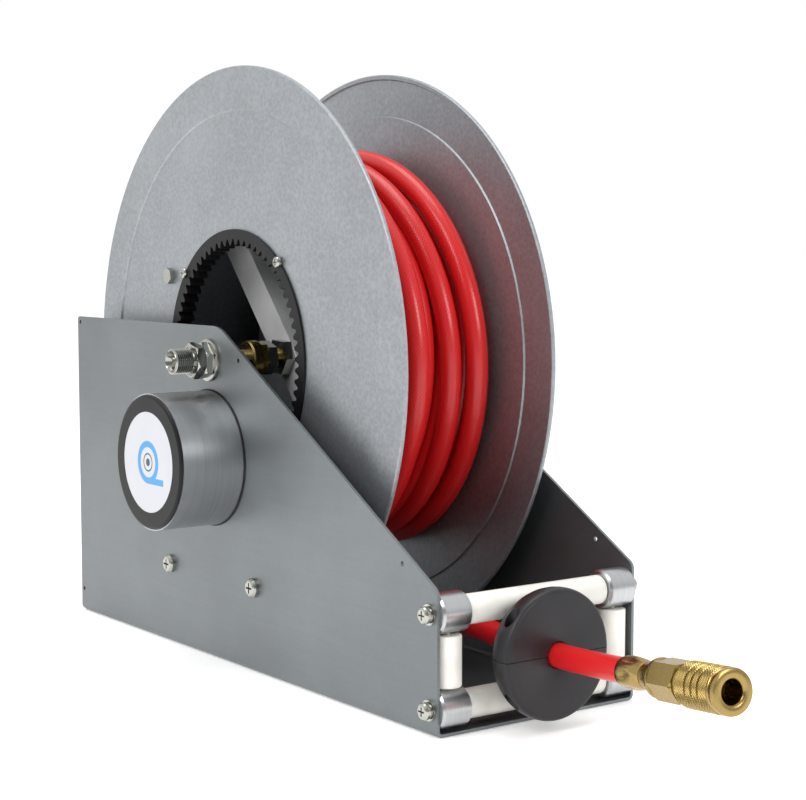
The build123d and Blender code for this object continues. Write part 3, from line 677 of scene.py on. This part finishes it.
class Finish:
    # one material, with short ways to add its nodes
    def __init__(self, name, colour, roughness, metallic=0.0, coat=0.0):
        self.material = bpy.data.materials.new(name)
        self.material.use_nodes = True
        self.tree = self.material.node_tree
        self.shader = self.tree.nodes["Principled BSDF"]
        self.feed("Base Color", (*colour, 1))
        self.feed("Roughness", roughness)
        self.feed("Metallic", metallic)
        self.feed("Coat Weight", coat)
        self.material.diffuse_color = (*colour, 1)

    def feed(self, socketName, value):
        self.connect(self.shader.inputs[socketName], value)

    def connect(self, socket, value):
        if isinstance(value, Link):
            self.tree.links.new(value.socket, socket)
        else:
            socket.default_value = value

    def node(self, kind, settings=None, sockets=None, output=0):
        made = self.tree.nodes.new(kind)
        for key, value in (settings or {}).items():
            if key == "stops":
                ramp = made.color_ramp
                while len(ramp.elements) < len(value):
                    ramp.elements.new(0.5)
                for element, (place, colour) in zip(ramp.elements, value):
                    element.position = place
                    element.color = colour
            else:
                setattr(made, key, value)
        for key, value in (sockets or {}).items():
            self.connect(made.inputs[key], value)
        return Link(self, made.outputs[output])

    def place(self, scale=(1, 1, 1), centre=(0, 0, 0)):
        spot = self.node("ShaderNodeTexCoord", output="Object")
        moved = self.node("ShaderNodeVectorMath", {"operation": "SUBTRACT"}, {0: spot, 1: centre})
        return self.node("ShaderNodeMapping", sockets={"Vector": moved, "Scale": scale})

    def noise(self, place, scale, detail=3.0, rough=0.5):
        sockets = {"Vector": place, "Scale": scale, "Detail": detail, "Roughness": rough}
        return self.node("ShaderNodeTexNoise", sockets=sockets)

    def mix(self, share, first, second):
        # inputs 0, 6 and 7 of the Mix node are its factor and two colours
        first, second = (shade if isinstance(shade, Link) else (*shade, 1) for shade in (first, second))
        return self.node("ShaderNodeMix", {"data_type": "RGBA"}, {0: share, 6: first, 7: second}, output=2)

    def steps(self, value, low, high):
        # 0 below low, 1 above high and a smooth step between them
        sockets = {"Value": value, "From Min": low, "From Max": high}
        return self.node("ShaderNodeMapRange", {"interpolation_type": "SMOOTHSTEP"}, sockets)

    def bump(self, height, strength, distance):
        sockets = {"Height": height, "Strength": strength, "Distance": distance}
        self.feed("Normal", self.node("ShaderNodeBump", sockets=sockets, output="Normal"))


def paint(finish, *names):
    for name in names:
        for holder in nodes[name].material_slots:
            holder.material = finish.material


def zincSheet():
    # rolled zinc-plated sheet: long faint streaks, soft clouds and fine grain
    dark, light = (0.184, 0.199, 0.205), (0.234, 0.251, 0.257)
    finish = Finish("zincSheet", (0.50, 0.53, 0.53), 0.42, 0.9)
    streaks = finish.noise(finish.place((1, 3, 90)), 4, 4)
    clouds = finish.noise(finish.place(), 7, 5, 0.6)
    grain = finish.noise(finish.place((1, 1, 1)), 900, 2)
    share = streaks * 0.15 + clouds * 0.6 + grain * 0.25
    finish.feed("Base Color", finish.mix(finish.steps(share, 0.3, 0.7), dark, light))
    finish.feed("Roughness", 0.38 + share * 0.12)
    finish.bump(grain * 0.8 + streaks * 0.2, 0.05, 0.0003)
    return finish


def flangeSheet():
    # satin galvanised disc with a fine mottled skin
    dark, light = (0.290, 0.308, 0.325), (0.395, 0.415, 0.435)
    finish = Finish("flangeSheet", (0.55, 0.56, 0.57), 0.45, 0.85)
    clouds = finish.noise(finish.place(), 9, 5, 0.65)
    grain = finish.noise(finish.place(), 420, 3, 0.6)
    specks = finish.node("ShaderNodeTexVoronoi", sockets={"Vector": finish.place(), "Scale": 260})
    share = clouds * 0.4 + grain * 0.4 + specks * 0.2
    finish.feed("Base Color", finish.mix(finish.steps(share, 0.3, 0.7), dark, light))
    finish.feed("Roughness", 0.38 + grain * 0.18)
    finish.bump(grain, 0.18, 0.0004)
    return finish


def plainMetal(name, colour, roughness, lines=(1, 1, 1), depth=0.02):
    # bright metal with fine lines left by the tool, and faint smudges
    finish = Finish(name, colour, roughness, 1.0)
    marks = finish.noise(finish.place(lines), 240, 2)
    smudge = finish.noise(finish.place(), 28, 3)
    dark = tuple(c * 0.90 for c in colour)
    finish.feed("Base Color", finish.mix(finish.steps(smudge, 0.3, 0.7), dark, colour))
    finish.feed("Roughness", roughness - 0.04 + marks * 0.08)
    finish.bump(marks, depth, 0.0002)
    return finish


def knurledMetal(name, colour, dark, roughness):
    # bright diamonds with painted shade darkening the grooves between them, on the same grid as the
    # sleeve's own
    fade, grooveShadeEdge = 0.2, 0.72
    finish = Finish(name, colour, roughness, 1.0)
    arm = finish.place(centre=tuple(tipStart))
    dot = {"operation": "DOT_PRODUCT"}
    along, side, rise = (
        finish.node("ShaderNodeVectorMath", dot, {0: arm, 1: tuple(way)}, output="Value")
        for way in (tipWay, sideWay, riseWay)
    )
    turned = finish.node("ShaderNodeMath", {"operation": "ARCTAN2"}, {0: rise, 1: side})
    column = turned * (coupler["sleeveSides"] / (2 * math.pi))
    row = (along - coupler["knurlZones"][0][0] * mm) / (coupler["knurlPitch"] * mm)
    crossed = []
    for slant in (row + column, row - column):
        wave = finish.node("ShaderNodeMath", {"operation": "COSINE"}, {0: slant * math.pi})
        crossed.append(wave * wave)
    grooveShade = finish.node("ShaderNodeMath", {"operation": "MAXIMUM"}, {0: crossed[0], 1: crossed[1]})
    zones = 0
    for start, end in coupler["knurlZones"]:
        begun = finish.steps(along, (start - fade) * mm, start * mm)
        over = finish.steps(along, end * mm, (end + fade) * mm)
        zones = zones + begun * (1 - over)
    # painted shade: the grooves between the diamonds take the dark colour in place of the shade that falls
    # in them
    share = finish.steps(grooveShade, grooveShadeEdge, 1.0) * zones
    finish.feed("Base Color", finish.mix(share, colour, dark))
    finish.feed("Roughness", roughness + share * 0.2)
    return finish


def brushedCan(name, colour, roughness):
    # drawn housing: fine lines round it, close together along its axis
    finish = Finish(name, colour, roughness, 1.0)
    fine = finish.noise(finish.place((1, 0.004, 0.004)), 2600, 3, 0.6)
    broad = finish.noise(finish.place((1, 0.02, 0.02)), 320, 2)
    smudge = finish.noise(finish.place(), 14, 3)
    share = fine * 0.6 + broad * 0.25 + smudge * 0.15
    dark = tuple(c * 0.84 for c in colour)
    light = tuple(min(1, c * 1.08) for c in colour)
    finish.feed("Base Color", finish.mix(finish.steps(share, 0.3, 0.7), dark, light))
    finish.feed("Roughness", roughness - 0.05 + share * 0.1)
    finish.bump(fine, 0.05, 0.0002)
    return finish


def moulded(name, colour, roughness, shine=0.5):
    # moulded or painted skin: a fine grain, and smudges a little lighter than the colour
    finish = Finish(name, colour, roughness)
    finish.shader.inputs["Specular IOR Level"].default_value = shine
    skin = finish.noise(finish.place(), 700, 2)
    smudge = finish.noise(finish.place(), 30, 4)
    light = tuple(min(1, c * 1.2 + 0.004) for c in colour)
    finish.feed("Base Color", finish.mix(finish.steps(smudge, 0.35, 0.75), colour, light))
    finish.feed("Roughness", roughness - 0.05 + smudge * 0.1)
    finish.bump(skin, 0.08, 0.0003)
    return finish


badge = {
    "white": (0.58, 0.59, 0.62),
    "blue": (0.05, 0.30, 0.62),
    "dark": (0.03, 0.035, 0.045),
    "ringIn": 13 * mm,
    "ringOut": 18.5 * mm,
    "lineIn": 6.76 * mm,
    "lineOut": 8.06 * mm,
    "reach": 27 * mm,
    "hub": 3.4 * mm,
    "edge": 0.25 * mm,
}


def badgeFinish(name):
    # white disc with a plain drawing of a reel: a blue ring, a dark hub and a blue line of hose
    finish = Finish(name, badge["white"], 0.3)
    spot = finish.place(centre=(0, brakeY, brakeZ))
    across, rise = (
        finish.node("ShaderNodeSeparateXYZ", sockets={0: spot}, output=part) for part in (1, 2)
    )
    far = (across * across + rise * rise) ** 0.5
    blur = badge["edge"]

    def inside(value, low, high):
        past = finish.steps(value, high - blur, high + blur)
        return finish.steps(value, low - blur, low + blur) * (1 - past)

    ring = inside(far, badge["ringIn"], badge["ringOut"])
    line = inside(rise, -badge["ringOut"], -badge["ringIn"]) * inside(across, -badge["reach"], 0)
    dark = inside(far, badge["lineIn"], badge["lineOut"]) + inside(far, 0, badge["hub"])
    blue = finish.node("ShaderNodeMath", {"operation": "MAXIMUM"}, {0: ring, 1: line})
    smudge = finish.noise(finish.place(), 40, 3)
    ground = finish.mix(smudge, badge["white"], tuple(c * 0.95 for c in badge["white"]))
    coloured = finish.mix(blue, ground, badge["blue"])
    finish.feed("Base Color", finish.mix(dark, coloured, badge["dark"]))
    finish.feed("Roughness", 0.26 + smudge * 0.08)
    return finish


braid = {"strands": 20, "pitch": 3.0 * mm, "showing": 0.30}


def hoseRubber(name, length):
    # a glossy skin over a fine braid that winds both ways round the hose
    red, light = (0.56, 0.003, 0.006), (0.80, 0.06, 0.055)
    finish = Finish(name, red, 0.34, 0.0, 0.25)
    finish.shader.inputs["Coat Roughness"].default_value = 0.18
    finish.shader.inputs["Specular IOR Level"].default_value = 0.35
    spot = finish.node("ShaderNodeTexCoord", output="UV")
    along, around = (
        finish.node("ShaderNodeSeparateXYZ", sockets={0: spot}, output=part) for part in (0, 1)
    )
    strands = 2 * math.pi * braid["strands"]
    pitch = 2 * math.pi * length / braid["pitch"]
    right, left = (
        finish.node("ShaderNodeMath", {"operation": "SINE"}, {0: slant})
        for slant in (around * strands + along * pitch, around * strands - along * pitch)
    )
    weave = finish.node("ShaderNodeMath", {"operation": "MAXIMUM"}, {0: right, 1: left})
    smudge = finish.noise(finish.place(), 22, 3)
    share = finish.steps(weave, 0.2, 1.0) * braid["showing"]
    finish.feed("Base Color", finish.mix(share, red, light))
    finish.feed("Roughness", 0.24 + smudge * 0.14 + share * 0.1)
    finish.bump(weave, 0.10, 0.0003)
    return finish


galvanised = zincSheet()
discSheet = flangeSheet()
oxide = moulded("blackOxide", (0.006, 0.006, 0.007), 0.40, shine=0.22)
zincSteel = plainMetal("zincSteel", (0.47, 0.47, 0.43), 0.20)
turnedSteel = plainMetal("turnedSteel", (0.42, 0.42, 0.39), 0.17, (8, 0.1, 0.1), 0.01)
greyPaint = moulded("greyPaint", (0.52, 0.52, 0.52), 0.4)
brass = plainMetal("machinedBrass", (0.36, 0.255, 0.088), 0.27, depth=0.01)
# the second colour is the painted shade in the knurl's grooves
knurledBrassShadedGrooves = knurledMetal("knurledBrassShadedGrooves", (0.38, 0.27, 0.095), (0.055, 0.034, 0.010), 0.27)
aluminium = brushedCan("brushedAluminium", (0.50, 0.51, 0.52), 0.30)
nylon = moulded("whiteNylon", (0.74, 0.725, 0.67), 0.35)
stopRubber = moulded("stopRubber", (0.013, 0.012, 0.014), 0.42, shine=0.34)
labelWhite = badgeFinish("reelBadge")
redHose = hoseRubber("redHose", hose["coilLength"])
leadHose = hoseRubber("redHoseLead", hose["leadLength"])

paint(galvanised, "frame_channel", "side_straps", "latch_bracket")
paint(discSheet, "left_flange", "right_flange", "end_plate", "barrel", "spring_case")
paint(oxide, "ring_gear", "brake_cap", "ratchet_ring", "brake_base")
paint(zincSteel, "strap_screws", "frame_nuts", "ring_screws", "drum_bolts", "drum_nuts")
paint(zincSteel, "motor_screws", "axle_bolts", "plate_screws", "guide_screws", "guide_washers")
paint(zincSteel, "stop_screws")
paint(turnedSteel, "inlet_fitting", "inlet_washer", "inlet_locknut", "swivel_nuts", "outlet_elbow")
paint(turnedSteel, "drum_hub")
paint(turnedSteel, "main_axle", "latch_pawl", "brake_shaft", "brake_pinion", "shoe_carrier", "power_spring")
paint(turnedSteel, "cross_shafts", "guide_posts", "shaft_bearings")
paint(greyPaint, "spider_bracket")
paint(brass, "swivel_body", "drum_bushes", "ferrule", "coupler_body", "coupler_sleeve")
paint(aluminium, "brake_canister", "corner_collars", "brake_shoe_1", "brake_shoe_2", "brake_shoe_3")
paint(nylon, "top_roller", "bottom_roller", "left_side_roller", "right_side_roller")
paint(stopRubber, "upper_stop_half", "lower_stop_half", "brake_liner")
paint(labelWhite, "face_disc")
paint(redHose, "hose_tail")
for half in (upperStop, lowerStop):
    half.data.materials.append(stopRubber.material)
for piece in (ferrule, couplerBody):
    piece.data.materials.append(brass.material)
couplerSleeve.data.materials.append(knurledBrassShadedGrooves.material)
for piece in (inletFitting, inletWasher):
    piece.data.materials.append(turnedSteel.material)
housingBead.data.materials.append(oxide.material)
hoseCoil.data.materials.append(redHose.material)
hoseLead.data.materials.append(leadHose.material)
print("finishes ready")

# floor

bpy.ops.mesh.primitive_plane_add(size=60, location=(0, 0, -0.0005))
floor = bpy.context.object
floor.name = "studioFloor"
floor.data.name = "studioFloor"
floorFinish = Finish("studioFloor", studio["floorColour"], 0.8)
floorFinish.shader.inputs["Emission Color"].default_value = (1, 1, 1, 1)
floorFinish.shader.inputs["Emission Strength"].default_value = studio["floorGlow"]
floor.data.materials.append(floorFinish.material)

bpy.context.view_layer.update()
